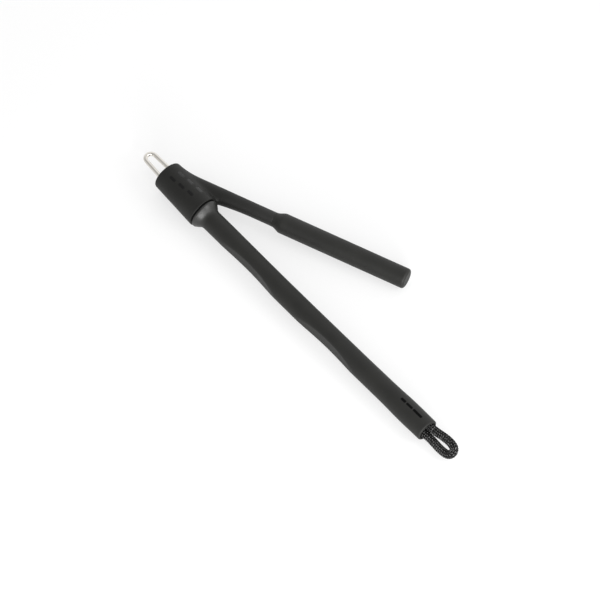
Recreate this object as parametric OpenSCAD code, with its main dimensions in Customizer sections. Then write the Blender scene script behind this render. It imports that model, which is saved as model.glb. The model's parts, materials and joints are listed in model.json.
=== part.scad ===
// Forked hand lever: a polished steel eye and a fixed side arm on a conical head,
// and a long main grip that turns in the head and ends in a braided cord loop.
// It lies on a flat surface, on the head's rim, the main grip's end and the side arm's end.
// Millimetres, +Z up. The design is drawn along +X from the seam between head and grip,
// and lay() sets it down on the surface.

/* [Head] */
// Length of the head from its narrow end to the seam
head_len = 69; // [66:1:74]
// Radius of the head at the seam
head_r = 20.75; // [20.5:0.05:22]
// Radius of the head at its narrow end
head_top_r = 19.2; // [19:0.1:20]
// Lean of the head towards the side arm, in degrees
head_lean = 1.7; // [0:0.1:2]
// Rounding of the head's narrow rim
head_round = 2.5; // [1:0.5:3]
// Width of the groove between head and grip
seam_gap = 1.2; // [1:0.1:1.6]

/* [Steel eye] */
// Radius of the eye's rod
rod_r = 2.75; // [2.3:0.05:2.9]
// How far the eye stands out of the head
eye_reach = 38.5; // [34:0.5:45]
// Radius of the rod's centre line round the tip
eye_tip_r = 6.7; // [6:0.1:7.2]
// Half the distance between the legs where they enter the head
eye_foot = 8; // [7.6:0.1:9]

/* [Side arm] */
// Angle between the side arm and the main grip, in degrees
arm_angle = 21.3; // [19:0.1:24]
// Distance from the seam back to where the two arms' centre lines meet
arm_root = 86; // [82:1:90]
// Radius of the side arm's neck
neck_r = 9; // [8.5:0.05:9.5]
// Radius of the side grip
side_r = 12.7; // [12:0.1:14]
// Where the side grip begins, along the side arm
side_start = 160; // [150:1:170]
// Where the side arm ends, along the side arm
side_end = 339; // [300:0.2:360]

/* [Main grip] */
// Length of the main grip from the seam to its end
grip_len = 401; // [380:1:430]
// Radius of the plain part of the main grip
grip_r = 13.3; // [13:0.1:14]
// Radius of the swell near the grip's end
swell_r = 14.8; // [14.5:0.1:16]
// Radius at the grip's end
grip_end_r = 14.5; // [14.2:0.1:15]
// Radius of the flared shoulder at the seam
shoulder_r = 19.8; // [19:0.1:20]
// Depth of the two hand hollows
hollow_depth = 4.1; // [1:0.1:4.2]
// Length of each hand hollow
hollow_len = 96; // [80:1:110]

/* [Cord] */
// Radius of the cord
cord_r = 5.4; // [4.5:0.1:5.4]

/* [Hidden] */
$fn = 96;

// Radial room of a shaft that turns in a bush, and room between faces that turn past each other
fit = 0.04;
face_gap = 0.05;

// Head, inside
core_r = 17.4;
core_bottom = -1;
core_top = -(head_len - 1);
bush_r = 10;
land_start = -28;
land_end = -30;
chamber_r = 12.8;
seat_start = -49;
seat_end = -60;
mouth_r = 15.3;
seal_r = 17.3;
seal_height = 1.3;

// Steel eye
eye_shank_r = 5;
carrier_r = 12.4;
carrier_base = seat_end - 1.2;
carrier_top = -(head_len - 1.5);
leg_depth = 5;
tip_x = rod_r + eye_tip_r - head_len - eye_reach;
leg_lean = atan((eye_foot - eye_tip_r) / (-head_len - tip_x));
leg_run = (carrier_top + leg_depth - tip_x) / cos(leg_lean);
tip_turn = 180 - 2 * leg_lean;

// Swivel shaft
journal_r = 8;
thread_r = 6;
flange_r = 15.5;
flange_end = 5;
shaft_end = -39.5;

// Side arm
stub_r = 7.2;
stub_start = 34;
neck_start = 28;
stub_end = 110;
spigot_r = 5.4;
spigot_end = 135;
side_tube_end = 330;
side_core_r = 10.2;
cap_r = 8.8;
side_round = 3.6;

// Main grip
tube_r = 8;
tube_bore = 6.2;
shaft_spigot_end = 45;
tube_end = 370;
socket_r = 12;
socket_depth = 4;
plug_face = grip_len - socket_depth;
cord_half = 5.7;
cord_roll = 35;
cord_tail = 375;
pin_x = 384;
fillet_end = 15;
hollow_at = [92, 232];
hollow_turn = 2;
hollow_cut_r = hollow_len * hollow_len / (8 * hollow_depth);

// The surface that the lever lies on touches the head's rim, the grip's end and the side arm
side_tip = [side_end - side_round, 0];
side_tip_x = -arm_root + side_tip[0] * cos(arm_angle);
side_tip_y = side_tip[0] * sin(arm_angle);
pitch = asin((head_r - grip_end_r) / (grip_len - 1.5));
roll = -asin((head_r - side_r - side_tip_x * sin(pitch)) / side_tip_y);
rest_z = head_r * cos(pitch) - seam_gap / 2 * sin(pitch);
// Middle of the footprint, seen from the seam
middle = [146.86, 56.55];

// Centre line of the cord as laid down: out of one hole of the plug, round, and back into the other
route = [
    [229, -61.3, 11.8], [240.4, -61.3, 11.6], [251.9, -61.1, 11.3], [257, -60.7, 11.1], [262.2, -60.4, 10.8],
    [267.3, -60.4, 10.1], [272.5, -60.3, 9.6], [277.7, -60.3, 9.2], [282.8, -60.1, 9], [287, -59.8, 9.2],
    [290.5, -59.3, 9.6], [293.3, -58.1, 10.4], [295, -56.2, 11.7], [295.7, -54, 13.3], [295.1, -51.8, 14.9],
    [293.4, -49.9, 16.2], [290.6, -48.9, 17], [287, -48.4, 17.5], [282.9, -48.4, 17.9], [277.7, -48.8, 18.1],
    [272.6, -49.4, 18], [267.4, -50.1, 17.8], [262.3, -50.7, 17.7], [257.1, -51.2, 17.6], [252, -51.5, 17.6],
    [240.5, -51.8, 17.8], [229.1, -51.8, 18]
];
cord_sides = 12;

module lay() {
    translate([-middle[0], -middle[1], rest_z]) rotate([roll, pitch, 0]) children();
}

// Along the main grip's centre line: children are drawn on +Z and turned onto +X
module on_main(x = 0) {
    translate([x, 0, 0]) rotate([0, 90, 0]) children();
}

// Along the head's own, slightly leaning, centre line
module on_head(x = 0) {
    rotate([0, 0, -head_lean]) translate([x, 0, 0]) rotate([0, 90, 0]) children();
}

// Along the side arm's centre line, from where the two centre lines meet
module on_side(s = 0) {
    translate([-arm_root, 0, 0]) rotate([0, 0, arm_angle]) translate([s, 0, 0]) rotate([0, 90, 0])
        children();
}

module ring(outer, inner, length) {
    difference() {
        cylinder(r = outer, h = length);
        translate([0, 0, -1]) cylinder(r = inner, h = length + 2);
    }
}

module hex_nut(across, bore, length) {
    difference() {
        cylinder(d = across / cos(30), h = length, $fn = 6);
        translate([0, 0, -1]) cylinder(r = bore, h = length + 2);
    }
}

// Points of a quarter round: centre, radius, first and last angle
function arc(c, r, a0, a1, n = 8) =
    [for (i = [0 : n]) c + r * [cos(a0 + (a1 - a0) * i / n), sin(a0 + (a1 - a0) * i / n)]];

// ---- Head ----

module head_core() color("dimgray") {
    difference() {
        union() {
            on_head(core_top) cylinder(r = core_r, h = core_bottom - core_top + 1);
            on_side(stub_start) cylinder(r = stub_r, h = stub_end - stub_start);
            on_side(stub_start) cylinder(r = spigot_r, h = spigot_end - stub_start);
        }
        // faces square to the main grip: the one at the seam, and the one that the shaft's washer turns on
        on_main(core_bottom) cylinder(r = 30, h = 20);
        on_main(land_end - 2) cylinder(r = 11.6, h = 2);
        on_main(land_end - 1) cylinder(r = journal_r + 0.6, h = 40);
        on_main(land_start) cylinder(r = bush_r, h = 40);
        on_main(-2.8) cylinder(r = 14, h = 10);
        on_head(seat_start) cylinder(r = chamber_r, h = land_end - seat_start - 1);
        on_head(core_top - 5) cylinder(r = mouth_r, h = seat_start - core_top + 5);
        on_side(122) rotate([90, 0, 0]) cylinder(r = 1.5, h = 30, center = true);
    }
}

// Outline of the cover's outside, turned round the head's centre line
function cover_outline() = concat(
    [[0, -head_len], [head_top_r - head_round, -head_len]],
    arc([head_top_r - head_round, -head_len + head_round], head_round, -90, 0),
    [[head_r, -3], [head_r, 4], [0, 4]]);

module head_cover() color("#2a2a29") {
    difference() {
        union() {
            difference() {
                on_head() rotate_extrude() polygon(cover_outline());
                on_main(-seam_gap / 2) cylinder(r = 30, h = 20);
            }
            difference() {
                union() {
                    on_side(neck_start) cylinder(r = neck_r, h = side_start - neck_start);
                    hull() {
                        on_side(60) cylinder(r = neck_r - 0.4, h = 22, $fn = 32);
                        on_head(-44) cylinder(r = 15, h = 40, $fn = 32);
                    }
                }
                // room for the shoulder that turns below the seam
                on_main(-seam_gap / 2) cylinder(r = shoulder_r + 0.5, h = 30);
            }
        }
        on_head(core_top) cylinder(r = core_r, h = 90);
        on_head(-head_len - 1) cylinder(r = core_r - 0.6, h = 5);
        on_side(20) cylinder(r = stub_r, h = side_start);
    }
}

module head_cap() color("#1d1d1d")
    on_head(core_top + 0.1) ring(mouth_r, carrier_r + 0.3, seat_end - core_top - 0.1);

module eye_seat() color("darkgoldenrod")
    on_head(seat_end) ring(mouth_r, eye_shank_r + fit, seat_start - seat_end);

module lower_bush() color("darkgoldenrod") on_main() {
    difference() {
        union() {
            translate([0, 0, -14]) cylinder(r = bush_r, h = 12);
            translate([0, 0, -2.8]) cylinder(r = 13.9, h = 2);
        }
        translate([0, 0, -20]) cylinder(r = journal_r + fit, h = 30);
    }
}

module upper_bush() color("darkgoldenrod")
    on_main(land_start) ring(bush_r, journal_r + fit, 10);

module thrust_washer() color("beige")
    on_main(-0.8) ring(13.6, journal_r + 0.2, 0.8 + seam_gap / 2 - face_gap);

module seam_seal() color("#0d0d0d")
    on_main(core_bottom) ring(seal_r, seal_r - 2, seal_height);

// ---- Side arm ----

module side_tube() color("silver") difference() {
    on_side(stub_end) ring(stub_r, spigot_r, side_tube_end - stub_end);
    on_side(122) rotate([90, 0, 0]) cylinder(r = 1.5, h = 30, center = true);
}

module side_tube_pin() color("silver")
    on_side(122) rotate([90, 0, 0]) cylinder(r = 1.5, h = 2 * stub_r - 0.6, center = true);

module side_grip_core() color("#3a3a3a")
    on_side(side_start + 8) ring(side_core_r, stub_r, side_tube_end - side_start - 8);

module side_grip() color("#30302f") on_side() difference() {
    rotate_extrude() polygon(concat(
        [[stub_r, side_start], [neck_r, side_start]],
        arc([neck_r + 6, side_start - 1], 6, 170, 132, 4),
        arc([side_r - 7, side_start + 11], 7, -42, 0, 5),
        arc([side_r - side_round, side_end - side_round], side_round, 0, 90),
        [[cap_r, side_end], [cap_r, side_tube_end], [stub_r, side_tube_end]]));
    translate([0, 0, side_start + 8]) cylinder(r = side_core_r, h = side_tube_end - side_start - 8);
}

module side_end_cap() color("#30302f") on_side() {
    translate([0, 0, side_tube_end]) cylinder(r = cap_r - 0.1, h = side_end - side_tube_end - 0.3);
    translate([0, 0, side_tube_end - 18]) cylinder(r = spigot_r, h = 19);
}

// ---- Steel eye ----

// A bent rod: two straight legs that lean together and a round tip
module eye_legs() {
    translate([eye_tip_r, 0, 0]) rotate([90, 0, 0]) cylinder(r = rod_r, h = leg_run);
    rotate([0, 0, tip_turn]) translate([eye_tip_r, 0, 0]) rotate([-90, 0, 0])
        cylinder(r = rod_r, h = leg_run);
}

// Where the rod's round tip is struck from, and turned to where the tip begins
module at_tip()
    rotate([0, 0, -head_lean]) translate([tip_x, 0, 0]) rotate([0, 0, 90 + leg_lean]) children();

module eye_loop() color("gainsboro") at_tip() {
    rotate_extrude(angle = tip_turn) translate([eye_tip_r, 0]) circle(r = rod_r);
    eye_legs();
    // a short core inside the rod carries it on from each leg into the tip
    for (turn = [0, tip_turn])
        rotate([0, 0, turn]) translate([eye_tip_r, 0, 0]) rotate([90, 0, 0])
            cylinder(r = rod_r / 2, h = 1, center = true);
}

module eye_carrier() color("lightgray") difference() {
    union() {
        on_head(carrier_top) cylinder(r = carrier_r, h = carrier_base - carrier_top);
        on_head(carrier_base - 1) cylinder(r = eye_shank_r, h = -41 - carrier_base + 1);
    }
    at_tip() eye_legs();
}

module eye_washer() color("beige")
    on_head(carrier_base + face_gap) ring(carrier_r - 0.4, eye_shank_r + 0.2, 1.2 - face_gap);

module eye_nut() color("silver")
    on_head(seat_start + face_gap) hex_nut(17, eye_shank_r, 5.5);

// ---- Main grip ----

module swivel_shaft() color("silver") on_main() {
    translate([0, 0, seam_gap / 2]) cylinder(r = flange_r, h = flange_end - seam_gap / 2);
    translate([0, 0, land_end + 0.05]) cylinder(r = journal_r, h = -land_end + 1);
    translate([0, 0, shaft_end]) cylinder(r = thread_r, h = 20);
    difference() {
        cylinder(r = tube_bore, h = shaft_spigot_end);
        translate([0, 0, 30]) rotate([90, 0, 0]) cylinder(r = 2, h = 40, center = true);
    }
}

module shaft_washer() color("silver")
    on_main(land_end - 1.4 - face_gap) ring(10.5, thread_r, 1.4);

module shaft_nut() color("silver")
    on_main(land_end - 1.4 - face_gap - 7) hex_nut(19, thread_r, 7);

module grip_tube() color("silver") difference() {
    on_main(flange_end) ring(tube_r, tube_bore, tube_end - flange_end);
    on_main(30) rotate([90, 0, 0]) cylinder(r = 2, h = 40, center = true);
}

module grip_tube_pin() color("silver")
    on_main(30) rotate([90, 0, 0]) cylinder(r = 2, h = 2 * tube_r - 0.6, center = true);

module shoulder_core() color("#3a3a3a") on_main() difference() {
    union() {
        translate([0, 0, seam_gap / 2]) cylinder(r = 17.2, h = 2.4);
        translate([0, 0, seam_gap / 2 + 2.4]) cylinder(r1 = 17.2, r2 = 11, h = 9);
    }
    cylinder(r = flange_r, h = flange_end);
    cylinder(r = tube_r, h = 20);
}

// Outline of the grip's outside: flared shoulder, plain length, swell and rounded end
function grip_outline() = concat(
    arc([shoulder_r - 2, seam_gap / 2 + 2], 2, -90, 35, 5),
    arc([grip_r + 9, fillet_end], 9, 222, 180, 6),
    [[grip_r, 110], [grip_r + 0.4, 160], [grip_r + 0.45, 290], [swell_r - 0.7, 340], [swell_r - 0.1, 356],
     [swell_r, 363], [swell_r, 374], [grip_end_r + 0.1, 390]],
    arc([grip_end_r - 1.3, grip_len - 1.3], 1.3, 0, 90, 4));

module grip_cover() color("#2e2e2d") difference() {
    on_main() difference() {
        rotate_extrude() polygon(concat([[0, seam_gap / 2]], grip_outline(), [[0, grip_len]]));
        translate([0, 0, seam_gap / 2 - 1]) cylinder(r = 17.2, h = 3.4);
        translate([0, 0, seam_gap / 2 + 2.4]) cylinder(r1 = 17.2, r2 = 11, h = 9);
        cylinder(r = tube_r, h = grip_len);
        translate([0, 0, tube_end]) cylinder(r = socket_r, h = 60);
    }
    // two hollows that a hand's fingers lie in
    for (x = hollow_at)
        translate([x, 0, 0]) rotate([hollow_turn, 0, 0])
            translate([0, -grip_r + hollow_depth - hollow_cut_r, 0])
                cylinder(r = hollow_cut_r, h = 60, center = true, $fn = 360);
}

module end_plug() color("#161616") difference() {
    on_main() union() {
        translate([0, 0, tube_end]) cylinder(r = socket_r, h = plug_face - tube_end);
        translate([0, 0, tube_end - 16]) cylinder(r = tube_bore, h = 17);
    }
    rotate([cord_roll, 0, 0]) {
        for (side = [-1, 1])
            translate([cord_tail, side * cord_half, 0]) rotate([0, 90, 0])
                cylinder(r = cord_r + 0.2, h = 40);
        translate([pin_x, 0, 0]) rotate([90, 0, 0]) cylinder(r = 1.5, h = 40, center = true);
    }
}

module cord_pin() color("silver")
    rotate([cord_roll, 0, 0]) translate([pin_x, 0, 0]) rotate([90, 0, 0])
        cylinder(r = 1.5, h = 2 * socket_r - 1, center = true);

// The cord is a tube swept along its route; its loop lies in one sloping plane
function unit(v) = v / norm(v);
function tangent(i) = unit(route[min(i + 1, len(route) - 1)] - route[max(i - 1, 0)]);
function cord_ring(i) =
    let (along = tangent(i), side = unit(cross([0, -sin(cord_roll), cos(cord_roll)], along)),
         up = cross(along, side))
    [for (j = [0 : cord_sides - 1])
        route[i] + cord_r * (cos(360 * j / cord_sides) * side + sin(360 * j / cord_sides) * up)];

module cord_loop() color("#1c1c1c") {
    rings = len(route);
    polyhedron(
        points = [for (i = [0 : rings - 1]) each cord_ring(i)],
        faces = concat(
            [for (i = [0 : rings - 2], j = [0 : cord_sides - 1], half = [0, 1])
                let (a = i * cord_sides + j, b = i * cord_sides + (j + 1) % cord_sides)
                half == 0 ? [a, b, a + cord_sides] : [b, b + cord_sides, a + cord_sides]],
            [[for (j = [0 : cord_sides - 1]) cord_sides - 1 - j]],
            [[for (j = [0 : cord_sides - 1]) (rings - 1) * cord_sides + j]]));
}

lay() head_core();
lay() head_cover();
lay() head_cap();
lay() eye_seat();
lay() lower_bush();
lay() upper_bush();
lay() thrust_washer();
lay() seam_seal();
lay() side_tube();
lay() side_tube_pin();
lay() side_grip_core();
lay() side_grip();
lay() side_end_cap();
lay() eye_loop();
lay() eye_carrier();
lay() eye_washer();
lay() eye_nut();
lay() swivel_shaft();
lay() shaft_washer();
lay() shaft_nut();
lay() grip_tube();
lay() grip_tube_pin();
lay() shoulder_core();
lay() grip_cover();
lay() end_plug();
lay() cord_pin();
cord_loop();
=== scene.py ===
import json
import math

import bpy
import numpy as np
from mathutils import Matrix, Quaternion, Vector


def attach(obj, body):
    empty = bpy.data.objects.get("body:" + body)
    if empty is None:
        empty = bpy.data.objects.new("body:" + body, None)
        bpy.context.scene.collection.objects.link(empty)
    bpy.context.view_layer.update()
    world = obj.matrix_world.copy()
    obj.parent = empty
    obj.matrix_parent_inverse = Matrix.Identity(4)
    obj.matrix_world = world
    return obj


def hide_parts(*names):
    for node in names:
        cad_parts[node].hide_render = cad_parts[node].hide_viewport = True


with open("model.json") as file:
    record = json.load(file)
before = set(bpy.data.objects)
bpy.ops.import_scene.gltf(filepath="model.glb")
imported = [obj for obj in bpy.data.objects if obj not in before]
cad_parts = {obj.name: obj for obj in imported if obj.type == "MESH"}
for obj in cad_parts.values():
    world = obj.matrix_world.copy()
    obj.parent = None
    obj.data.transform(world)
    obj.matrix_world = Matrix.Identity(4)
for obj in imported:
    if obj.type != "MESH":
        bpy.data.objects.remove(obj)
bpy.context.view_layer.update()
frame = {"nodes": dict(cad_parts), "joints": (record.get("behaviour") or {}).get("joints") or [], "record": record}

MM = 0.001
TAU = 2 * math.pi

# ---------------------------------------------------------------------------
# Camera
# ---------------------------------------------------------------------------

AZIMUTH, ELEVATION = math.radians(48.0), math.radians(60.0)
AIM = Vector((0.0125, -0.0435, 0.0))
DISTANCE = 12.0             # a long lens from far off, in metres
SEEN_WIDTH = 0.72           # how much of the floor the picture spans, in metres
SENSOR_WIDTH = 36.0
CLIP_NEAR, CLIP_FAR = 0.1, 60.0


def make_camera():
    data = bpy.data.cameras.new("camera")
    data.sensor_width = SENSOR_WIDTH
    data.lens = DISTANCE / SEEN_WIDTH * SENSOR_WIDTH
    data.clip_start, data.clip_end = CLIP_NEAR, CLIP_FAR
    camera = bpy.data.objects.new("camera", data)
    bpy.context.scene.collection.objects.link(camera)
    back = Vector((math.sin(AZIMUTH) * math.cos(ELEVATION),
                   -math.cos(AZIMUTH) * math.cos(ELEVATION), math.sin(ELEVATION)))
    camera.location = AIM + back * DISTANCE
    camera.rotation_mode = "QUATERNION"
    camera.rotation_quaternion = (-back).to_track_quat("-Z", "Y")
    bpy.context.scene.camera = camera


make_camera()

# ---------------------------------------------------------------------------
# The three centre lines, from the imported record
# ---------------------------------------------------------------------------

joints = {j["name"]: j for j in frame["joints"]}
mounts = {m["name"]: m for m in frame["record"]["mounts"]}
SEAM = np.array(joints["grip_swivel"]["pos_m"])
MAIN = np.array(joints["grip_swivel"]["axis"])
HEAD = np.array(joints["eye_swivel"]["axis"])
SIDE = np.array(mounts["side_grip"]["axis"])
UP = np.cross(MAIN, SIDE)
UP /= np.linalg.norm(UP)
SIDE_MOUNT_AT = 253.2       # where the side grip's mount is along its centre line, in mm


def frame_of(origin, along):
    """A centre line's start, and its axes as rows: along it, towards the side arm, and up."""
    along = along / np.linalg.norm(along)
    return origin, np.array([along, np.cross(UP, along), UP])


MAIN_FRAME = frame_of(SEAM, MAIN)
HEAD_FRAME = frame_of(SEAM, HEAD)
SIDE_FRAME = frame_of(np.array(mounts["side_grip"]["pos_m"]) - SIDE * SIDE_MOUNT_AT * MM, SIDE)


def to_row(points, local):
    """Millimetres along a centre line's own axes, to metres in the shared frame."""
    origin, axes = local
    return origin + np.asarray(points, float) * MM @ axes


def to_local(points, local):
    """Metres in the shared frame, to millimetres along a centre line's own axes."""
    origin, axes = local
    return (points - origin) @ axes.T / MM


# ---------------------------------------------------------------------------
# Mesh helpers
# ---------------------------------------------------------------------------

def add_mesh(name, points, faces, material, smooth=True):
    mesh = bpy.data.meshes.new(name)
    mesh.from_pydata([tuple(p) for p in np.asarray(points, float)], [], faces)
    mesh.validate()
    mesh.update()
    if smooth:
        mesh.shade_smooth()
    mesh.materials.append(material)
    obj = bpy.data.objects.new(name, mesh)
    bpy.context.scene.collection.objects.link(obj)
    return obj


def grid_faces(rows, columns, wrap_rows=False):
    """Quads of a grid that is closed round its columns, and round its rows too if asked."""
    faces = []
    for i in range(rows if wrap_rows else rows - 1):
        a, b = i * columns, (i + 1) % rows * columns
        for j in range(columns):
            k = (j + 1) % columns
            faces.append((a + j, a + k, b + k, b + j))
    return faces


def tube_faces(rows, columns):
    """Quads between the rows, and one face over each end."""
    last = (rows - 1) * columns
    ends = [tuple(range(columns - 1, -1, -1)), tuple(range(last, last + columns))]
    return grid_faces(rows, columns) + ends


def joined(parts):
    """The points and faces of one mesh, from each part's own (points, faces)."""
    points, faces, count = [], [], 0
    for part_points, part_faces in parts:
        points.append(part_points)
        faces += [tuple(count + v for v in face) for face in part_faces]
        count += len(part_points)
    return np.concatenate(points), faces


def rings_round(path, sides, radius):
    """A ring of points round each point of a path, and with each its centre and two directions.

    path is an n x 3 array that doesn't start straight up; it and the radius are in metres."""
    along = np.gradient(path, axis=0)
    along /= np.linalg.norm(along, axis=1)[:, None]
    side, frames = np.cross(UP, along[0]), []
    for centre, t in zip(path, along):
        side = side - t * np.dot(side, t)
        side /= np.linalg.norm(side)
        frames.append((centre, side, np.cross(t, side)))
    angle = np.linspace(0, TAU, sides, endpoint=False)
    rings = [c + radius * (np.cos(angle)[:, None] * s + np.sin(angle)[:, None] * u)
             for c, s, u in frames]
    return rings, frames


def lathe(name, outline, local, columns, material, shape=None):
    """A closed solid turned round a centre line.

    outline is a closed run of (along, radius) in mm. shape(along, radius, angle) may give each
    row its own radii, one for each angle."""
    angle = np.linspace(0, TAU, columns, endpoint=False)
    rows = []
    for x, r in outline:
        radii = np.full(columns, r) if shape is None else shape(x, r, angle)
        rows.append(np.stack([np.full(columns, x), radii * np.cos(angle), radii * np.sin(angle)], 1))
    return add_mesh(name, to_row(np.concatenate(rows), local),
                    grid_faces(len(rows), columns, wrap_rows=True), material)


def arc(x, r, radius, first, last, steps):
    """Points (along, radius) on a round of an outline, with its middle at (x, r).

    The angles are in degrees from the centre line's direction."""
    angles = [math.radians(first + (last - first) * i / steps) for i in range(steps + 1)]
    return [(x + radius * math.cos(a), r + radius * math.sin(a)) for a in angles]


def eased(values, rounds):
    """The values with every bend eased, round after round. The two ends stay."""
    values = np.array(values, float)
    for _ in range(rounds):
        values[1:-1] = 0.25 * values[:-2] + 0.5 * values[1:-1] + 0.25 * values[2:]
    return values


# ---------------------------------------------------------------------------
# Materials
# ---------------------------------------------------------------------------

NOISE_LOW, NOISE_HIGH = 0.3, 0.7        # nearly all of a noise lies between these
WARM = 0.86                             # a black's blue, as a share of its red
DUST = (0.11, 0.108, 0.10)
MIX_A, MIX_B, MIX_RESULT = 6, 7, 2      # the mix node's sockets for colours


def grey(v):
    return (v, v, v)


def warm_black(v):
    return (v, v, v * WARM)


def fill_ramp(node, stops):
    """Gives a colour ramp its stops, which are (position, colour) in order."""
    elements = node.color_ramp.elements
    for element, (at, colour) in zip(elements, (stops[0], stops[-1])):
        element.position, element.color = at, (*colour, 1)
    for at, colour in stops[1:-1]:
        elements.new(at).color = (*colour, 1)


class Nodes:
    """A material's node tree, with short calls for the nodes used here."""

    INPUTS = {"colour": "Base Color", "rough": "Roughness", "metal": "Metallic",
              "normal": "Normal", "specular": "Specular IOR Level", "glow": "Emission Color",
              "glow_strength": "Emission Strength"}

    def __init__(self, name):
        self.material = bpy.data.materials.new(name)
        self.material.use_nodes = True
        self.tree = self.material.node_tree
        self.tree.nodes.clear()
        out = self.tree.nodes.new("ShaderNodeOutputMaterial")
        self.shader = self.tree.nodes.new("ShaderNodeBsdfPrincipled")
        self.link(self.shader.outputs["BSDF"], out.inputs["Surface"])
        self.place = self.tree.nodes.new("ShaderNodeTexCoord").outputs["Object"]

    def link(self, a, b):
        self.tree.links.new(a, b)

    def noise(self, scale, detail=3.0, rough=0.5, stretch=None):
        place = self.place
        if stretch is not None:
            m = self.tree.nodes.new("ShaderNodeMapping")
            m.inputs["Scale"].default_value = stretch
            self.link(place, m.inputs["Vector"])
            place = m.outputs["Vector"]
        n = self.tree.nodes.new("ShaderNodeTexNoise")
        n.inputs["Scale"].default_value = scale
        n.inputs["Detail"].default_value = detail
        n.inputs["Roughness"].default_value = rough
        self.link(place, n.inputs["Vector"])
        return n.outputs["Fac"]

    def ramp(self, value, first, first_colour, last, last_colour):
        """One colour up to first, another from last on, and a blend between."""
        r = self.tree.nodes.new("ShaderNodeValToRGB")
        fill_ramp(r, [(first, first_colour), (last, last_colour)])
        self.link(value, r.inputs["Fac"])
        return r.outputs["Color"]

    def tint(self, noise, low, high):
        """A noise as two colours and the blends between them."""
        return self.ramp(noise, NOISE_LOW, low, NOISE_HIGH, high)

    def span(self, value, low, high, first=NOISE_LOW, last=NOISE_HIGH):
        """A value that runs from first to last, as one that runs from low to high."""
        m = self.tree.nodes.new("ShaderNodeMapRange")
        for key, v in (("From Min", first), ("From Max", last), ("To Min", low), ("To Max", high)):
            m.inputs[key].default_value = v
        self.link(value, m.inputs["Value"])
        return m.outputs["Result"]

    def split_x(self):
        m = self.tree.nodes.new("ShaderNodeSeparateXYZ")
        self.link(self.place, m.inputs[0])
        return m.outputs[0]

    def add(self, a, b):
        m = self.tree.nodes.new("ShaderNodeMath")
        m.operation = "ADD"
        self.link(a, m.inputs[0])
        self.link(b, m.inputs[1])
        return m.outputs[0]

    def mix(self, factor, a, colour):
        """A colour socket mixed with a plain colour."""
        m = self.tree.nodes.new("ShaderNodeMix")
        m.data_type = "RGBA"
        self.link(factor, m.inputs[0])
        self.link(a, m.inputs[MIX_A])
        m.inputs[MIX_B].default_value = (*colour, 1)
        return m.outputs[MIX_RESULT]

    def bump(self, value, strength, distance, under=None):
        b = self.tree.nodes.new("ShaderNodeBump")
        b.inputs["Strength"].default_value = strength
        b.inputs["Distance"].default_value = distance
        self.link(value, b.inputs["Height"])
        if under is not None:
            self.link(under, b.inputs["Normal"])
        return b.outputs["Normal"]

    def set(self, **values):
        for key, v in values.items():
            socket = self.shader.inputs[self.INPUTS[key]]
            if isinstance(v, bpy.types.NodeSocket):
                self.link(v, socket)
            else:
                socket.default_value = (*v, 1) if isinstance(v, tuple) else v
        return self.material


def soft_black(name, dark, light, specular, rough, shine=None):
    """Soft-touch skin: fine grain, hand-worn patches that shine more, and a few dust specks.

    shine is (first, last, specular, rough): what the skin changes to from first to last along X,
    in metres."""
    n = Nodes(name)
    patches = n.noise(38.0, detail=4.0, rough=0.55)
    cloud = n.tint(patches, warm_black(dark), warm_black(light))
    speck = n.ramp(n.noise(900.0, detail=1.0), 0.74, grey(0.0), 0.80, grey(1.0))
    colour = n.mix(n.span(speck, 0.0, 0.22, first=0.0, last=1.0), cloud, DUST)
    wear = n.span(n.noise(24.0, detail=5.0, rough=0.6), rough - 0.05, rough + 0.06)
    if shine is not None:
        first, last, other_specular, other_rough = shine
        along = n.split_x()
        specular = n.span(along, specular, other_specular, first, last)
        wear = n.add(wear, n.span(along, 0.0, other_rough - rough, first, last))
    grain = n.bump(n.noise(3600.0, detail=2.0, rough=0.6), strength=0.22, distance=0.00012)
    body = n.bump(n.noise(420.0, detail=2.0), strength=0.05, distance=0.0005, under=grain)
    return n.set(colour=colour, rough=wear, normal=body, specular=specular)


def hard_plastic(name, value, rough, specular=0.4):
    n = Nodes(name)
    colour = n.tint(n.noise(120.0), grey(value * 0.85), grey(value * 1.2))
    wear = n.span(n.noise(500.0), rough - 0.05, rough + 0.06)
    normal = n.bump(n.noise(2200.0, detail=2.0), strength=0.18, distance=0.00015)
    return n.set(colour=colour, rough=wear, normal=normal, specular=specular)


def turned_metal(name, low, high, rough, stretch=(1.0, 1.0, 1.0)):
    n = Nodes(name)
    colour = n.tint(n.noise(160.0, detail=4.0), low, high)
    marks = n.noise(300.0, rough=0.6, stretch=stretch)
    normal = n.bump(marks, strength=0.12, distance=0.0001)
    wear = n.span(marks, rough - 0.06, rough + 0.1)
    return n.set(colour=colour, metal=1.0, rough=wear, normal=normal)


def polished_steel(name):
    """Polished rod: near-mirror, with faint lengthways polishing lines and light handling haze."""
    n = Nodes(name)
    haze = n.noise(90.0, detail=4.0, rough=0.55)
    colour = n.tint(haze, (0.69, 0.662, 0.615), (0.77, 0.745, 0.70))
    lines = n.noise(900.0, rough=0.6, stretch=(0.06, 1.0, 1.0))
    normal = n.bump(lines, strength=0.06, distance=0.00008)
    return n.set(colour=colour, metal=1.0, rough=n.span(lines, 0.06, 0.13), normal=normal)


def cord_yarn(name, dark, light, specular):
    """Twisted yarn: dark, with light flecks painted into its colour as painted highlights where single threads
    catch the light.
    """
    n = Nodes(name)
    threads = n.noise(2600.0, rough=0.6)
    painted_glints = n.span(n.noise(700.0, detail=2.0), 0.0, 1.0, first=0.45, last=0.62)
    colour = n.mix(painted_glints, n.tint(threads, grey(dark * 0.6), grey(dark * 1.5)), grey(light))
    return n.set(colour=colour, rough=n.span(threads, 0.42, 0.6), specular=specular,
                 normal=n.bump(threads, strength=0.35, distance=0.0002))


# Painted shade: the head skin is the same moulded rubber as the side grip, painted darker here
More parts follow.
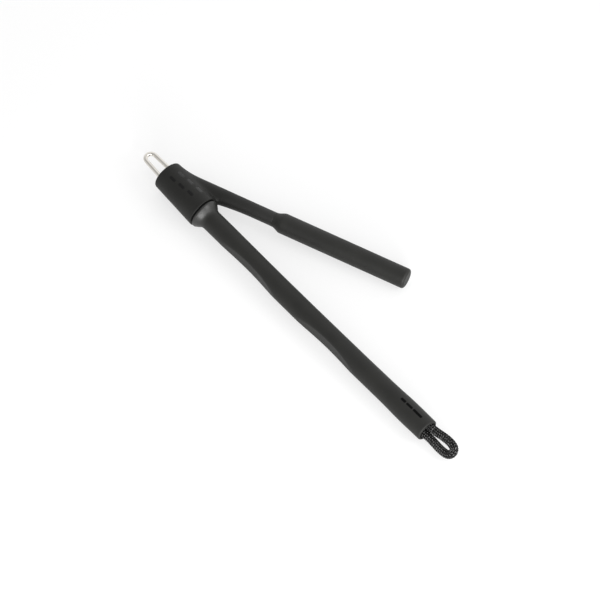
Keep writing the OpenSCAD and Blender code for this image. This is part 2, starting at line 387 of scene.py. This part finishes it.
SOFT_HEAD_SHADED = soft_black("soft_black_head_painted_shade", dark=0.0064, light=0.0092, specular=0.30, rough=0.55,
                       shine=(-0.140, -0.095, 0.50, 0.55))
SOFT = soft_black("soft_black", dark=0.0080, light=0.0115, specular=0.35, rough=0.57,
                  shine=(-0.130, -0.141, 0.66, 0.39))
# Painted light: the same moulded rubber as the head skin, painted lighter on the side grip and its end cap
SOFT_SIDE_LIT = soft_black("soft_black_side_painted_light", dark=0.0084, light=0.0122, specular=0.39, rough=0.57)
HARD = hard_plastic("hard_black", 0.012, rough=0.45)
GLOSS = hard_plastic("gloss_mark", 0.009, rough=0.26)
MARK_BLACK = hard_plastic("mark_black", 0.0012, rough=0.55, specular=0.06)
MARK_FAINT = hard_plastic("mark_faint", 0.004, rough=0.5, specular=0.2)
SEAL = hard_plastic("seal_black", 0.004, rough=0.6)
ACETAL = hard_plastic("washer_plastic", 0.55, rough=0.4)
STEEL = turned_metal("plain_steel", grey(0.55), (0.66, 0.66, 0.65), rough=0.3)
TUBE = turned_metal("tube_steel", grey(0.50), grey(0.60), rough=0.35, stretch=(0.1, 1, 1))
BRONZE = turned_metal("bearing_bronze", (0.42, 0.27, 0.10), (0.56, 0.38, 0.17), rough=0.32)
ANODISED = turned_metal("black_anodised", (0.03, 0.03, 0.032), (0.05, 0.05, 0.053), rough=0.42)
POLISHED = polished_steel("polished_steel")
YARN = cord_yarn("cord_black", dark=0.002, light=0.006, specular=0.05)
# Painted highlight: the strands one way round the braid are painted grey, so their picks read as glints
YARN_HIGHLIGHTED = cord_yarn("cord_painted_highlight", dark=0.02, light=0.15, specular=0.15)
CORD_CORE = cord_yarn("cord_core", dark=0.002, light=0.004, specular=0.04)

# ---------------------------------------------------------------------------
# Cord: a braided loop out of the grip's end
# ---------------------------------------------------------------------------

# the route along the cord's middle, in mm in the shared frame
CORD_MM = [
    [229, -61.3, 11.8], [240.4, -61.3, 11.6], [251.9, -60.9, 11.5], [257, -60.3, 11.4],
    [262.2, -60, 11.2], [267.3, -60, 10.5], [272.5, -60.1, 9.8], [277.7, -60.3, 9.2],
    [282.8, -60.1, 9], [287, -59.8, 9.2], [290.5, -59.3, 9.6], [293.3, -58.1, 10.4],
    [295, -56.2, 11.7], [295.7, -54, 13.3], [295.1, -51.8, 14.9], [293.4, -49.9, 16.2],
    [290.6, -48.9, 17], [287, -48.4, 17.5], [282.9, -48.4, 17.9], [277.7, -48.8, 18.1],
    [272.6, -49.4, 18], [267.4, -50.4, 17.7], [262.3, -51, 17.5], [257.1, -51.5, 17.4],
    [252, -51.7, 17.5], [240.5, -51.8, 17.8], [229.1, -51.8, 18]]
# metres from here on
CORD_CORE_R, CORD_CORE_SIDES = 0.0041, 20
STRANDS = 10                # each way round
TURN = 0.027                # one strand's turn, along the cord
BRAID_R = 0.00470
BRAID_WAVE = 0.00042        # how far a strand passes over and under the others
YARN_WIDE, YARN_THICK, YARN_SIDES = 0.00074, 0.00040, 8
ROUTE_STEP = 0.0005
SPAN_POINTS = 24            # points on the curve between two of the route's
ROUTE_EASING = 400
BLACK_LOOK, HIGHLIGHT_LOOK, CORE_LOOK = range(3)


def smooth_path(points, step):
    """A rounded curve through the points, resampled evenly, and each point's way along it."""
    p = np.vstack([2 * points[0] - points[1], points, 2 * points[-1] - points[-2]])
    curve = []
    for a, b, c, d in zip(p, p[1:], p[2:], p[3:]):
        for t in np.linspace(0, 1, SPAN_POINTS, endpoint=False):
            curve.append(0.5 * (2 * b + (c - a) * t + (2 * a - 5 * b + 4 * c - d) * t ** 2
                                + (3 * b - a - 3 * c + d) * t ** 3))
    curve = eased(curve + [p[-2]], ROUTE_EASING)
    steps = np.linalg.norm(np.diff(curve, axis=0), axis=1)
    length = np.concatenate([[0], np.cumsum(steps)])
    at = np.linspace(0, length[-1], int(length[-1] / step) + 1)
    return np.stack([np.interp(at, length, curve[:, k]) for k in range(3)], 1), at


def yarn_tube(centre, side, up, angle, radius):
    """A flat yarn that lies at an angle round the cord and a radius from its middle."""
    out = np.cos(angle)[:, None] * side + np.sin(angle)[:, None] * up
    line = centre + radius[:, None] * out
    along = np.gradient(line, axis=0)
    along /= np.linalg.norm(along, axis=1)[:, None]
    across = np.cross(out, along)
    turn = np.linspace(0, TAU, YARN_SIDES, endpoint=False)
    rings = (line[:, None, :] + YARN_WIDE * np.cos(turn)[None, :, None] * across[:, None, :]
             + YARN_THICK * np.sin(turn)[None, :, None] * out[:, None, :])
    return rings.reshape(-1, 3), tube_faces(len(line), YARN_SIDES)


def make_cord():
    path, at = smooth_path(np.array(CORD_MM) * MM, ROUTE_STEP)
    rings, frames = rings_round(path, CORD_CORE_SIDES, CORD_CORE_R)
    centre, side, up = (np.array(v) for v in zip(*frames))
    parts = [(np.concatenate(rings), tube_faces(len(rings), CORD_CORE_SIDES))]
    looks = [CORE_LOOK]
    wave = np.cos(STRANDS * TAU / TURN * at)
    # the strands one way round carry the painted highlight
    for way, look in ((1, HIGHLIGHT_LOOK), (-1, BLACK_LOOK)):
        radius = BRAID_R + way * BRAID_WAVE * wave
        for k in range(STRANDS):
            angle = TAU * k / STRANDS + way * TAU * at / TURN
            parts.append(yarn_tube(centre, side, up, angle, radius))
            looks.append(look)
    cord = add_mesh("cord_braid", *joined(parts), YARN)
    cord.data.materials.append(YARN_HIGHLIGHTED)
    cord.data.materials.append(CORD_CORE)
    cord.data.polygons.foreach_set("material_index", [
        look for look, (_, faces) in zip(looks, parts) for _ in faces])
    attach(cord, "main_grip")
    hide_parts("cord_loop")


make_cord()

# ---------------------------------------------------------------------------
# Head: one moulded skin over the cone and the side arm's neck, in mm
# ---------------------------------------------------------------------------

HEAD_LEN, HEAD_R, HEAD_TOP_R, HEAD_ROUND = 69.0, 20.75, 19.2, 2.5
TAPER_LEN = 63.5            # along which the cone widens from its narrow end
SEAM_HALF = 0.6
CORE_R, LIP = 17.4, 1.25    # the skin's inside, and its thickness over the core's narrow end
RIM_R, RIM_DEPTH = 16.8, 3.0
ARM_ROOT = 86.0             # the arms' centre lines meet this far before the seam
# the rest of the neck is measured along the side arm's centre line
NECK_R, NECK_START, SIDE_START, NECK_LAP = 9.0, 28.0, 160.0, 0.4
WEB, WEB_START, WEB_END = 1.3, 92.0, 135.0      # fuller on the inner side, near the head
STUB_R, STUB_START = 7.2, 20.0
SHOULDER_ROOM = 20.3        # the turning shoulder's room in the neck
BLEND = 9.5
EDGE, HOLLOW_EDGE = 0.7, 0.25
HEAD_LOW, HEAD_HIGH, VOXEL = (-72.6, -24.0, -23.0), (68.0, 70.0, 23.0), 0.75
NET_ROUNDS = 3

LEAN = math.acos(min(1.0, float(MAIN @ HEAD)))
ARM = math.acos(float(MAIN @ SIDE))


def rounded_both(a, b, r):
    """Where both shapes are, with their common edge rounded."""
    outside = np.hypot(np.maximum(a + r, 0), np.maximum(b + r, 0))
    return outside - r + np.minimum(np.maximum(a, b) + r, 0)


def smooth_either(a, b, k):
    """Where either shape is, with a soft round between them."""
    h = np.maximum(k - np.abs(a - b), 0) / k
    return np.minimum(a, b) - h * h * h * k / 6


def head_shape(p):
    """Signed distance, in mm, to the head's skin, for points along the main grip's own axes."""
    x, y, z = p[..., 0], p[..., 1], p[..., 2]
    # along the head's centre line, and away from it
    hx = x * math.cos(LEAN) - y * math.sin(LEAN)
    hy = x * math.sin(LEAN) + y * math.cos(LEAN)
    hr = np.hypot(hy, z)
    # along the side arm's centre line, and away from it
    s = (x + ARM_ROOT) * math.cos(ARM) + y * math.sin(ARM)
    off = -(x + ARM_ROOT) * math.sin(ARM) + y * math.cos(ARM)
    sr = np.hypot(off, z)

    widened = np.clip((hx + HEAD_LEN - HEAD_ROUND) / TAPER_LEN, 0, 1)
    wall = hr - (HEAD_TOP_R + (HEAD_R - HEAD_TOP_R) * widened)
    cone = rounded_both(wall, -HEAD_LEN - hx, HEAD_ROUND)
    cone = rounded_both(cone, x + SEAM_HALF, EDGE)
    web = WEB * np.clip((WEB_END - s) / (WEB_END - WEB_START), 0, 1) ** 2
    neck = np.hypot(off + web, z) - NECK_R - web
    neck_end = s - SIDE_START - NECK_LAP
    neck = np.maximum(np.maximum(neck, NECK_START - s), neck_end)
    both = np.maximum(smooth_either(cone, neck, BLEND), neck_end)
    room = np.maximum(np.hypot(y, z) - SHOULDER_ROOM, -SEAM_HALF - x)
    both = rounded_both(both, -room, EDGE)

    core = np.maximum(hr - CORE_R, -HEAD_LEN + LIP - hx)
    mouth = np.maximum(hr - RIM_R, hx + HEAD_LEN - RIM_DEPTH)
    stub = np.maximum(sr - STUB_R, STUB_START - s)
    hollow = np.minimum(np.minimum(core, mouth), stub)
    return rounded_both(both, -hollow, HOLLOW_EDGE)


def net_points(value, counts):
    """Which cells the surface passes through, and the mean of its crossings in each, in cells."""
    total = np.zeros([n - 1 for n in counts] + [3])
    hits = np.zeros([n - 1 for n in counts])
    for axis in range(3):
        others = [a for a in range(3) if a != axis]
        for d1 in (0, 1):
            for d2 in (0, 1):
                first, second = [0, 0, 0], [0, 0, 0]
                for corner in (first, second):
                    corner[others[0]], corner[others[1]] = d1, d2
                second[axis] = 1
                a, b = (value[tuple(slice(c, n - 1 + c) for c, n in zip(corner, counts))]
                        for corner in (first, second))
                cross = (a < 0) != (b < 0)
                t = np.where(cross, a / np.where(cross, a - b, 1), 0)
                for k in range(3):
                    total[..., k] += np.where(cross, first[k] + (t if k == axis else 0), 0)
                hits += cross
    used = hits > 0
    return used, total[used] / hits[used][:, None]


def net_faces(inside, used, counts):
    """A quad across each grid edge that the surface crosses, with its front outwards."""
    index = -np.ones(used.shape, int)
    index[used] = np.arange(used.sum())
    faces = []
    for axis in range(3):
        b, c = [a for a in range(3) if a != axis]
        lower = [slice(1, n - 1) for n in counts]
        upper = list(lower)
        lower[axis], upper[axis] = slice(0, counts[axis] - 1), slice(1, counts[axis])
        solid_first = inside[tuple(lower)]
        change = solid_first != inside[tuple(upper)]
        at = np.argwhere(change) + [0 if a == axis else 1 for a in range(3)]
        corners = []
        for db, dc in ((-1, -1), (0, -1), (0, 0), (-1, 0)):
            cell = at.copy()
            cell[:, b] += db
            cell[:, c] += dc
            corners.append(index[tuple(cell.T)])
        quads = np.stack(corners, 1)
        front = solid_first[change] if axis != 1 else ~solid_first[change]
        quads[~front] = quads[~front][:, ::-1]
        faces.append(quads)
    return np.concatenate(faces)


def surface_net(shape, low, high, step):
    """A closed quad mesh of where shape is zero, then moved onto it."""
    counts = [int((h - l) / step) + 2 for l, h in zip(low, high)]
    axes = [l + step * np.arange(n) for l, n in zip(low, counts)]
    value = shape(np.stack(np.meshgrid(*axes, indexing="ij"), -1))
    used, crossing = net_points(value, counts)
    points = np.array(low) + step * (np.argwhere(used) + crossing)
    faces = net_faces(value < 0, used, counts)
    for _ in range(NET_ROUNDS):
        points = relax(onto(shape, points), faces)
    return onto(shape, onto(shape, points)), faces


def slope(shape, p, h=0.02):
    """The shape's rise in each direction, measured over h each way."""
    return np.stack([(shape(p + d) - shape(p - d)) / (2 * h) for d in np.eye(3) * h], -1)


def onto(shape, p, most=0.5, flattest=0.2):
    """The points moved towards the shape's surface, each by no more than most."""
    g = slope(shape, p)
    move = -shape(p)[:, None] * g / np.maximum((g * g).sum(1), flattest)[:, None]
    size = np.linalg.norm(move, axis=1)[:, None]
    return p + move * np.minimum(1, most / np.maximum(size, 1e-9))


def relax(points, faces, share=0.4):
    """The points moved a share of the way to the middle of their neighbours."""
    total, count = np.zeros_like(points), np.zeros(len(points))
    for k in range(4):
        for d in (1, 3):
            np.add.at(total, faces[:, k], points[faces[:, (k + d) % 4]])
            np.add.at(count, faces[:, k], 1)
    return points + share * (total / np.maximum(count, 1)[:, None] - points)


def make_head():
    points, faces = surface_net(head_shape, HEAD_LOW, HEAD_HIGH, VOXEL)
    skin = add_mesh("head_skin", to_row(points, MAIN_FRAME), faces.tolist(), SOFT_HEAD_SHADED)
    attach(skin, "head")
    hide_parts("head_cover")


make_head()

# ---------------------------------------------------------------------------
# Side grip, in mm along the side arm's centre line
# ---------------------------------------------------------------------------

SIDE_R, SIDE_END, SIDE_ROUND = 12.7, 339.0, 3.6
STEP_START, STEP_LEN, STEP_RISE, STEP_POINTS = 1.0, 11.5, 0.15, 14
SIDE_PLAIN_START, SIDE_PLAIN_ROWS = 16.0, 26
CAP_R, CAP_EDGE, CAP_BEVEL, SIDE_TUBE_END = 8.8, 0.3, 0.1, 330.0
SKIN_EDGE = 0.3             # an extra row this far in keeps the neck's end face flat


def make_side_grip():
    outline = [(SIDE_START, STUB_R), (SIDE_START, NECK_R - SKIN_EDGE), (SIDE_START, NECK_R)]
    foot = NECK_R + STEP_RISE
    for i in range(STEP_POINTS + 1):                # the soft step from the neck up to the grip
        t = i / STEP_POINTS
        outline.append((SIDE_START + STEP_START + STEP_LEN * t,
                        foot + (SIDE_R - NECK_R - STEP_RISE) * (t * t * (3 - 2 * t))))
    outline += [(x, SIDE_R) for x in np.linspace(SIDE_START + SIDE_PLAIN_START,
                                                 SIDE_END - SIDE_ROUND - 1, SIDE_PLAIN_ROWS)]
    outline += arc(SIDE_END - SIDE_ROUND, SIDE_R - SIDE_ROUND, SIDE_ROUND, 90, 0, 8)
    outline += [(SIDE_END, CAP_R + CAP_BEVEL), (SIDE_END - CAP_EDGE, CAP_R), (SIDE_TUBE_END, CAP_R),
                (SIDE_TUBE_END, STUB_R)]
    skin = lathe("side_skin", outline, SIDE_FRAME, 72, SOFT_SIDE_LIT)
    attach(skin, "head")
    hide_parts("side_grip")


make_side_grip()

# ---------------------------------------------------------------------------
# Main grip, in mm along its centre line from the seam
# ---------------------------------------------------------------------------

GRIP_LEN, GRIP_R, GRIP_END_R, END_ROUND = 401.0, 13.3, 14.5, 2.1
SHOULDER_R, SHOULDER_ROUND, SHOULDER_FACE_R = 19.8, 2.0, 17.6
# the hard core under the shoulder: a disc, then a cone down to its tip
DISC_R, DISC_END, CONE_TIP_R, CONE_END = 17.2, 2.4, 11.0, 11.4
FILLET_R, FILLET_END = 9.0, 15.0
SOCKET_R, SOCKET_DEPTH, TUBE_R, TUBE_END = 12.0, 4.0, 8.0, 370.0
SOCKET_EDGE = [(0, 0.35), (0.12, 0.1), (0.35, 0)]   # (in from the end face, out from SOCKET_R)
INSIDE_ROW = 0.5            # rows thinner than GRIP_R by this are the socket's or the core's
HOLLOWS, HOLLOW_LEN, HOLLOW_DEPTH = (92.0, 232.0), 96.0, 4.1
HOLLOW_TURN, HOLLOW_BLEND = math.radians(2), 1.0
HOLLOW_SIDE, NO_CUT = 0.15, 99.0        # a hollow cuts only where the skin faces it this much
GRIP_KNOTS = [(FILLET_END, 13.3), (60, 13.25), (110, 13.35), (150, 13.55), (180, 13.6),
              (281, 13.65), (301, 13.75), (325, 13.85), (341, 14.05), (352, 14.5), (362, 14.78),
              (374, 14.8), (390, 14.6), (399.4, 14.5)]
GRIP_EASING, ROW_GAP = 40, 0.2          # the last plain row stays this far from the end's round
# how far the grip bows out towards the hollows' side
BOW_KNOTS = [(40, 0.0), (60, 0.2), (100, 0.75), (140, 1.25), (185, 1.35), (230, 1.15),
             (281, 0.85), (321, 0.5), (345, 0.3), (385, 0.0)]


def grip_outline():
    """Where each row of the grip's plain length is, every 2 mm, and its radius, bends eased."""
    x = np.arange(FILLET_END, GRIP_LEN - END_ROUND - ROW_GAP, 1.0)
    return x[::2], eased(np.interp(x, *np.array(GRIP_KNOTS).T), GRIP_EASING)[::2]


def with_hollows(x, r, angle):
    """Radii round a row of the grip, with the bow and the hand hollows worked in."""
    if r < GRIP_R - INSIDE_ROW:
        return np.full(len(angle), float(r))
    bow = float(np.interp(x, *np.array(BOW_KNOTS).T))
    turned = angle - math.pi - HOLLOW_TURN
    radii = bow * np.cos(turned) + np.sqrt(r * r - (bow * np.sin(turned)) ** 2)
    towards = np.cos(turned)
    cut_r = HOLLOW_LEN ** 2 / (8 * HOLLOW_DEPTH)
    for at in HOLLOWS:
        reach = cut_r ** 2 - (x - at) ** 2
        if reach <= 0:
            continue
        wall = GRIP_R - HOLLOW_DEPTH + bow + cut_r - math.sqrt(reach)
        cut = np.where(towards > HOLLOW_SIDE, wall / np.maximum(towards, HOLLOW_SIDE), NO_CUT)
        h = np.maximum(HOLLOW_BLEND - np.abs(radii - cut), 0) / HOLLOW_BLEND
        radii = np.minimum(radii, cut) - h * h * HOLLOW_BLEND / 4
    return radii


def make_grip():
    face = SEAM_HALF
    outline = [(face + CONE_END, CONE_TIP_R), (face + DISC_END, DISC_R), (face, DISC_R),
               (face, SHOULDER_FACE_R)]
    outline += arc(face + SHOULDER_ROUND, SHOULDER_R - SHOULDER_ROUND, SHOULDER_ROUND, 180, 55, 7)
    # the concave round from the shoulder down to the plain length
    outline += arc(FILLET_END, GRIP_R + FILLET_R, FILLET_R, 222, 270, 9)[:-1]
    outline += zip(*grip_outline())
    outline += arc(GRIP_LEN - END_ROUND, GRIP_END_R - END_ROUND, END_ROUND, 90, 0, 8)
    outline += [(GRIP_LEN - inwards, SOCKET_R + out) for inwards, out in SOCKET_EDGE]
    outline += [(GRIP_LEN - SOCKET_DEPTH, SOCKET_R), (TUBE_END, SOCKET_R), (TUBE_END, TUBE_R),
                (face + CONE_END, TUBE_R)]
    skin = lathe("grip_skin", outline, MAIN_FRAME, 96, SOFT, with_hollows)
    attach(skin, "main_grip")
    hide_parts("grip_cover")


make_grip()

# ---------------------------------------------------------------------------
# Steel eye, in mm along the head's centre line
# ---------------------------------------------------------------------------

ROD_R, ROD_SIDES = 2.75, 28
EYE_TIP_R, EYE_FOOT = 6.7, 8.0          # half the width between the legs' middles, tip and foot
EYE_REACH = 38.5                        # out of the head's narrow end
CARRIER_SUNK, LEG_DEPTH = 1.5, 5.0
LEG_POINTS, BEND_POINTS = 20, 41


def make_eye():
    tip = ROD_R + EYE_TIP_R - HEAD_LEN - EYE_REACH
    lean = math.atan((EYE_FOOT - EYE_TIP_R) / (-HEAD_LEN - tip))
    turn = math.pi / 2 - lean
    foot = -(HEAD_LEN - CARRIER_SUNK) + LEG_DEPTH
    angles = np.linspace(turn, -turn, BEND_POINTS)
    bend = [np.array([tip - EYE_TIP_R * math.cos(a), EYE_TIP_R * math.sin(a)]) for a in angles]
    down_leg = (foot - bend[0][0]) / math.cos(lean) * np.array([math.cos(lean), math.sin(lean)])
    legs = [bend[0] + t * down_leg for t in np.linspace(1, 0, LEG_POINTS)]
    flat = legs + bend[1:-1] + [np.array([x, -y]) for x, y in legs[::-1]]
    path = to_row([(x, y, 0) for x, y in flat], HEAD_FRAME)
    rings, _ = rings_round(path, ROD_SIDES, ROD_R * MM)
    eye = add_mesh("steel_eye", np.concatenate(rings), tube_faces(len(rings), ROD_SIDES), POLISHED)
    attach(eye, "eye")
    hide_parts("eye_loop")


make_eye()

# ---------------------------------------------------------------------------
# Plain bars where the real lever has lettering, in mm
# ---------------------------------------------------------------------------

MARK_PROUD, MARK_EDGE, MARK_SUNK = 0.07, 0.02, 0.35
MARK_RINGS = (0.04, 0.35, 0.7, 0.94, 1.0)       # the bar's outline at these shares of its size
MARK_CORNER, MARK_CORNER_POINTS = 0.3, 6        # the corners' radius, as a share of the width
SETTLE_FROM, SETTLE_ROUNDS = 0.6, 4     # a head mark starts this far inside HEAD_R
# each one is (along, length, angle round in degrees, width)
HEAD_MARKS = [(-49.5, 9.5, 72.0, 5.0), (-35.0, 9.5, 67.0, 5.0), (-19.5, 9.5, 63.0, 5.0)]
HEAD_MARKS_LOW = [(-51.0, 9.5, 108.0, 4.0), (-36.5, 9.5, 103.0, 4.0), (-22.0, 9.5, 98.0, 4.0)]
GRIP_MARKS = [(356.5, 8.0, 88.0, 3.6), (367.0, 10.0, 87.6, 3.2), (381.0, 15.0, 87.0, 3.4)]


def rounded_bar(length, width):
    """Outline of a bar with round corners, about its middle."""
    r = MARK_CORNER * width
    out = []
    for i, (sx, sy) in enumerate(((1, 1), (-1, 1), (-1, -1), (1, -1))):
        cx, cy = sx * (length / 2 - r), sy * (width / 2 - r)
        for a in np.linspace(i * math.pi / 2, (i + 1) * math.pi / 2, MARK_CORNER_POINTS):
            out.append((cx + r * math.cos(a), cy + r * math.sin(a)))
    return np.array(out)


def bars(name, marks, settle, body, material):
    """Thin bars that lie in a skin.

    settle(along, angle, across, lift) gives points in metres, lifted off the skin."""
    parts = []
    for x, length, angle, width in marks:
        outline = rounded_bar(length, width)
        rings = [outline * k for k in MARK_RINGS]
        layers = [(ring, MARK_PROUD) for ring in rings[:-1]] + [(rings[-1], MARK_EDGE)]
        layers += [(ring, -MARK_SUNK) for ring in rings[::-1]]
        points = [settle(x + ring[:, 0], math.radians(angle), ring[:, 1], lift)
                  for ring, lift in layers]
        parts.append((np.concatenate(points), tube_faces(len(layers), len(outline))))
    piece = add_mesh(name, *joined(parts), material)
    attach(piece, body)


def on_head_skin(along, angle, across, lift):
    turn = angle + across / HEAD_R
    r = HEAD_R - SETTLE_FROM + lift
    p = np.stack([along, r * np.cos(turn), r * np.sin(turn)], -1)
    p = to_local(to_row(p, HEAD_FRAME), MAIN_FRAME)
    for _ in range(SETTLE_ROUNDS):
        p = onto(head_shape, p)
    out = slope(head_shape, p)
    return to_row(p + lift * out / np.linalg.norm(out, axis=1)[:, None], MAIN_FRAME)


def on_grip_skin(along, angle, across, lift):
    r = np.interp(along, *grip_outline())
    turn = angle + across / r
    p = np.stack([along, (r + lift) * np.cos(turn), (r + lift) * np.sin(turn)], -1)
    return to_row(p, MAIN_FRAME)


bars("head_marks", HEAD_MARKS, on_head_skin, "head", GLOSS)
bars("head_marks_low", HEAD_MARKS_LOW, on_head_skin, "head", MARK_FAINT)
bars("grip_marks", GRIP_MARKS, on_grip_skin, "main_grip", MARK_BLACK)

# ---------------------------------------------------------------------------
# Carried-over CAD pieces, and the finish of every CAD node
# ---------------------------------------------------------------------------

FINISH = {
    "head_core": ANODISED, "head_cap": HARD, "eye_seat": BRONZE, "lower_bush": BRONZE,
    "upper_bush": BRONZE, "thrust_washer": ACETAL, "seam_seal": SEAL, "side_tube": TUBE,
    "side_tube_pin": STEEL, "side_grip_core": HARD, "side_end_cap": SOFT_SIDE_LIT,
    "eye_carrier": STEEL, "eye_washer": ACETAL, "eye_nut": STEEL, "swivel_shaft": STEEL,
    "shaft_washer": STEEL, "shaft_nut": STEEL, "grip_tube": TUBE, "grip_tube_pin": STEEL,
    "shoulder_core": HARD, "end_plug": HARD, "cord_pin": STEEL, "head_cover": SOFT_HEAD_SHADED,
    "grip_cover": SOFT, "side_grip": SOFT_SIDE_LIT, "eye_loop": POLISHED, "cord_loop": YARN,
}
for name, node in frame["nodes"].items():
    node.data.materials.clear()
    node.data.materials.append(FINISH[name])

# ---------------------------------------------------------------------------
# Floor and light
# ---------------------------------------------------------------------------

FLOOR_HALF = 12.0
FLOOR_GLOW = 0.61
WORLD_STRENGTH = 1.08
# the sky's tone by height, and how strongly it shines by direction along Y
SKY = [(0.0, 1.0), (0.45, 0.95), (1.0, 0.62)]
ACROSS = [(0.0, 0.80), (0.2, 0.62), (0.34, 0.66), (0.5, 0.86), (0.65, 1.12), (0.85, 1.18),
          (1.0, 1.05)]


def make_floor():
    n = Nodes("floor")
    tone = n.tint(n.noise(3.0, 2.0), grey(0.355), grey(0.37))
    material = n.set(colour=tone, rough=0.9, specular=0.1, glow=(1.0, 1.0, 1.0),
                     glow_strength=FLOOR_GLOW)
    corners = [(FLOOR_HALF * x, FLOOR_HALF * y, 0) for x, y in ((-1, -1), (1, -1), (1, 1), (-1, 1))]
    floor = add_mesh("floor", corners, [(0, 1, 2, 3)], material, smooth=False)


def make_world():
    world = bpy.data.worlds.new("studio")
    world.use_nodes = True
    nodes, link = world.node_tree.nodes, world.node_tree.links.new
    nodes.clear()
    out = nodes.new("ShaderNodeOutputWorld")
    back = nodes.new("ShaderNodeBackground")
    coord = nodes.new("ShaderNodeTexCoord")
    split = nodes.new("ShaderNodeSeparateXYZ")
    link(coord.outputs["Generated"], split.inputs[0])
    sky = nodes.new("ShaderNodeValToRGB")
    fill_ramp(sky, [(at, grey(tone)) for at, tone in SKY])
    link(split.outputs["Z"], sky.inputs["Fac"])
    link(sky.outputs["Color"], back.inputs["Color"])
    across = nodes.new("ShaderNodeMapRange")
    across.inputs["From Min"].default_value = -1.0
    link(split.outputs["Y"], across.inputs["Value"])
    sides = nodes.new("ShaderNodeValToRGB")
    fill_ramp(sides, [(at, grey(tone)) for at, tone in ACROSS])
    link(across.outputs["Result"], sides.inputs["Fac"])
    strength = nodes.new("ShaderNodeMath")
    strength.operation = "MULTIPLY"
    strength.inputs[1].default_value = WORLD_STRENGTH
    link(sides.outputs["Color"], strength.inputs[0])
    link(strength.outputs["Value"], back.inputs["Strength"])
    link(back.outputs["Background"], out.inputs["Surface"])
    bpy.context.scene.world = world


def softbox(name, towards, distance, size, power, roll=0.0):
    """A rectangular light that shines at the origin, rolled about its own axis by degrees."""
    data = bpy.data.lights.new(name, "AREA")
    data.shape = "RECTANGLE"
    data.size, data.size_y = size
    data.energy = power
    light = bpy.data.objects.new(name, data)
    bpy.context.scene.collection.objects.link(light)
    d = Vector(towards).normalized()
    rolled = Quaternion((0, 0, 1), math.radians(roll))
    light.location = d * distance
    light.rotation_mode = "QUATERNION"
    light.rotation_quaternion = (-d).to_track_quat("-Z", "Y") @ rolled


make_floor()
make_world()
softbox("key", (0.68, 0.40, 0.64), distance=2.2, size=(1.0, 1.0), power=12.0)
softbox("front", (0.82, -0.50, 0.17), distance=1.8, size=(1.1, 0.6), power=20.0)
softbox("flare", (0.75, -0.42, 0.50), distance=2.0, size=(2.0, 0.4), power=19.0, roll=42.0)
bpy.context.scene.view_settings.view_transform = "Standard"
